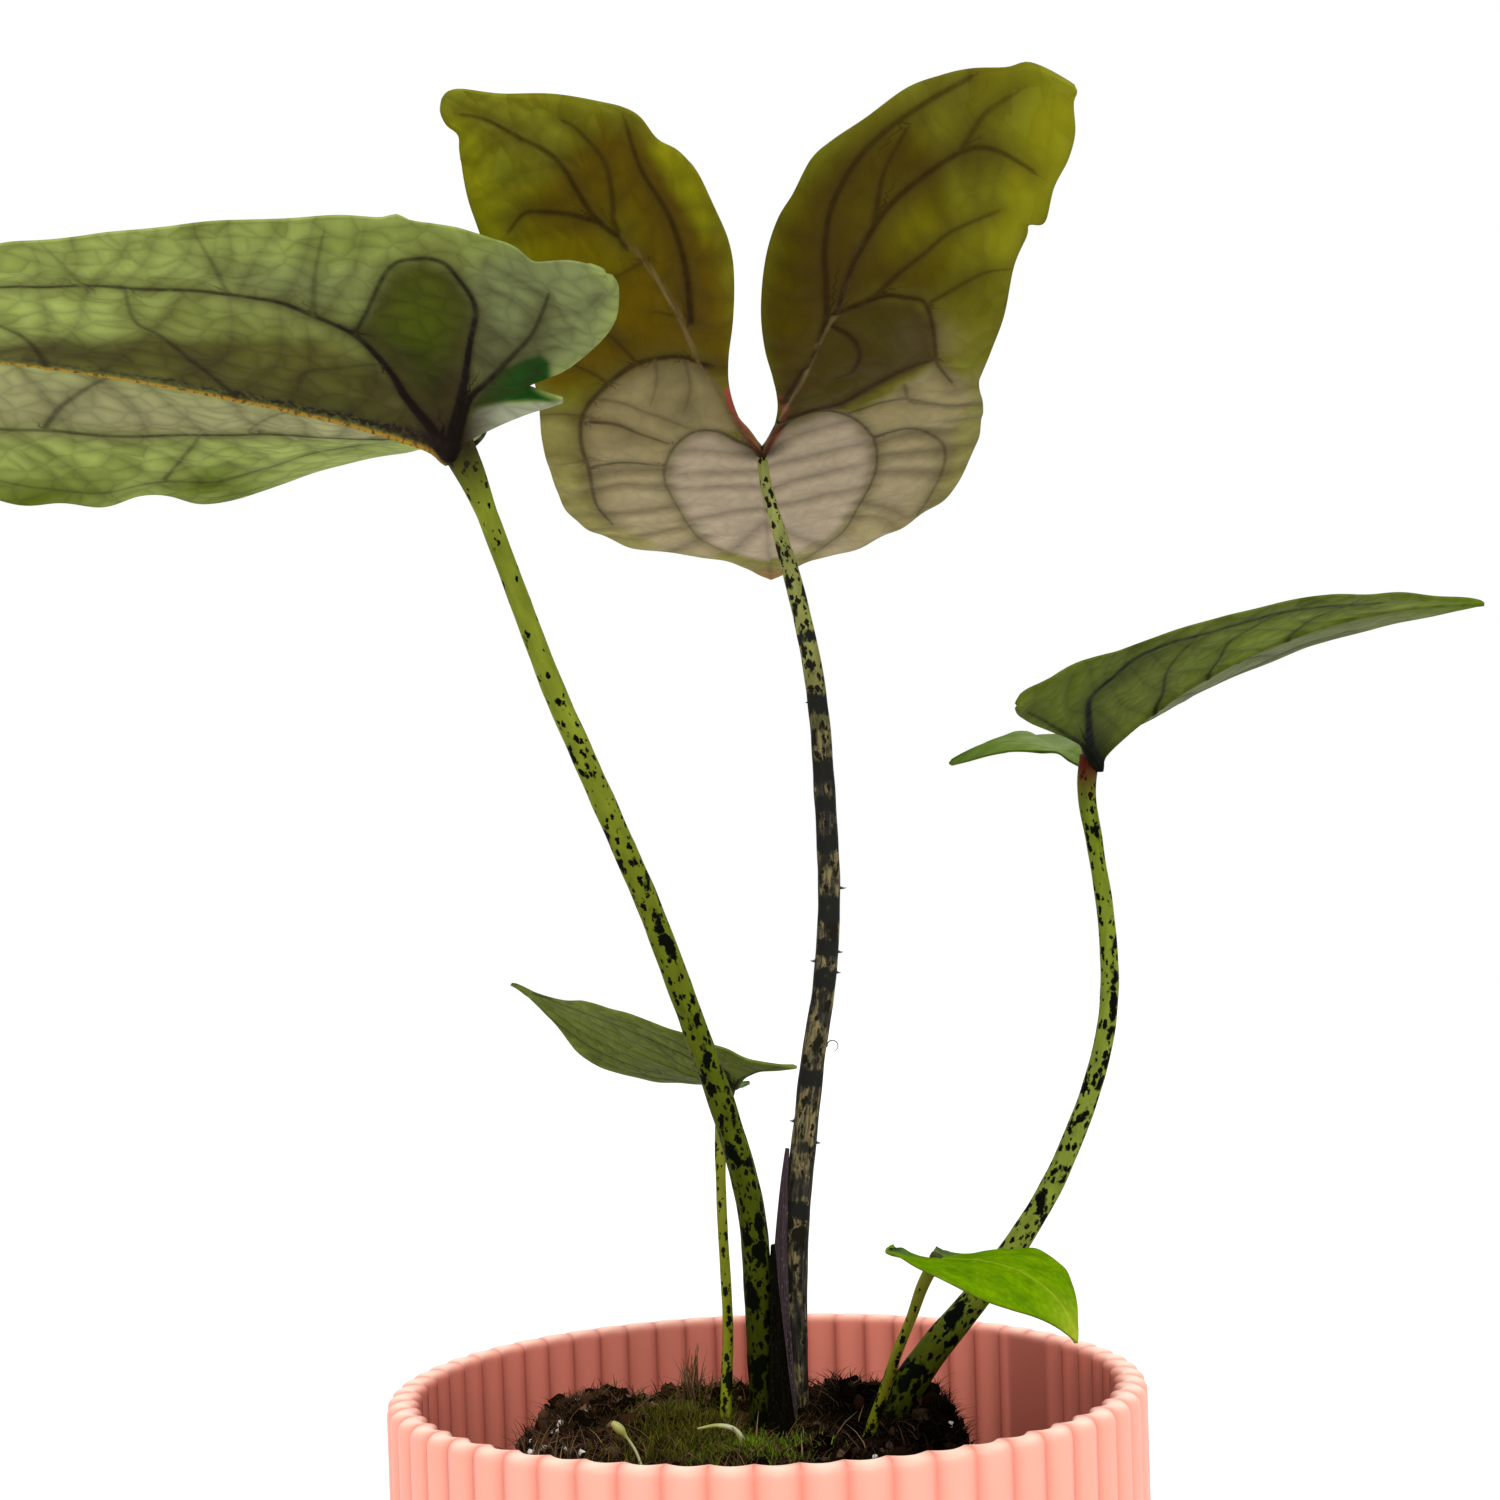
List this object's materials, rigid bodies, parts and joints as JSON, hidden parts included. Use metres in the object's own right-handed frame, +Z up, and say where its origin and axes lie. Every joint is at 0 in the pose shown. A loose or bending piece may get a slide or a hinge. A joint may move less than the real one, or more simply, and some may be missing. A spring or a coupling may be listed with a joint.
{
  "type": "potted cyrtosperma johnstonii",
  "caption": "Arum house plant with arrow-shaped ribbed leaves on spotted stalks, growing from a mound of soil in a fluted plastic pot.",
  "frame": {"origin": "middle of the pot's flat base, on the surface it stands on", "axes": "+Z up, -Y towards the front of the plant, +X to its right seen from the front"},
  "size_m": [0.31, 0.2202, 0.3611],
  "materials": {
    "pot_plastic": "matt salmon pink",
    "rootstock_skin": "rough brown skin",
    "blade_green": "leathery olive green, satin",
    "young_blade_green": "fresh green, satin",
    "stalk_green": "green with dark spots",
    "stalk_dark": "olive with dark bands and small thorns",
    "sheath_brown": "dry purple-brown",
    "seedling_pale": "pale green",
    "potting_soil": "crumbly dark soil"
  },
  "bodies": {
    "root": {"pot": "pot_plastic", "rootstock": "rootstock_skin", "blade_left": "blade_green", "blade_back": "blade_green", "blade_right": "blade_green", "blade_small_left": "blade_green", "blade_small_right": "young_blade_green", "stalk_left": "stalk_green", "stalk_back": "stalk_dark", "stalk_right": "stalk_green", "stalk_small_left": "stalk_green", "stalk_small_right": "stalk_green", "sheath_left": "sheath_brown", "sheath_back": "sheath_brown", "sheath_right": "sheath_brown", "seedling_bud": "seedling_pale", "seedling_shoot": "seedling_pale", "soil": "potting_soil"}
  },
  "joints": []
}
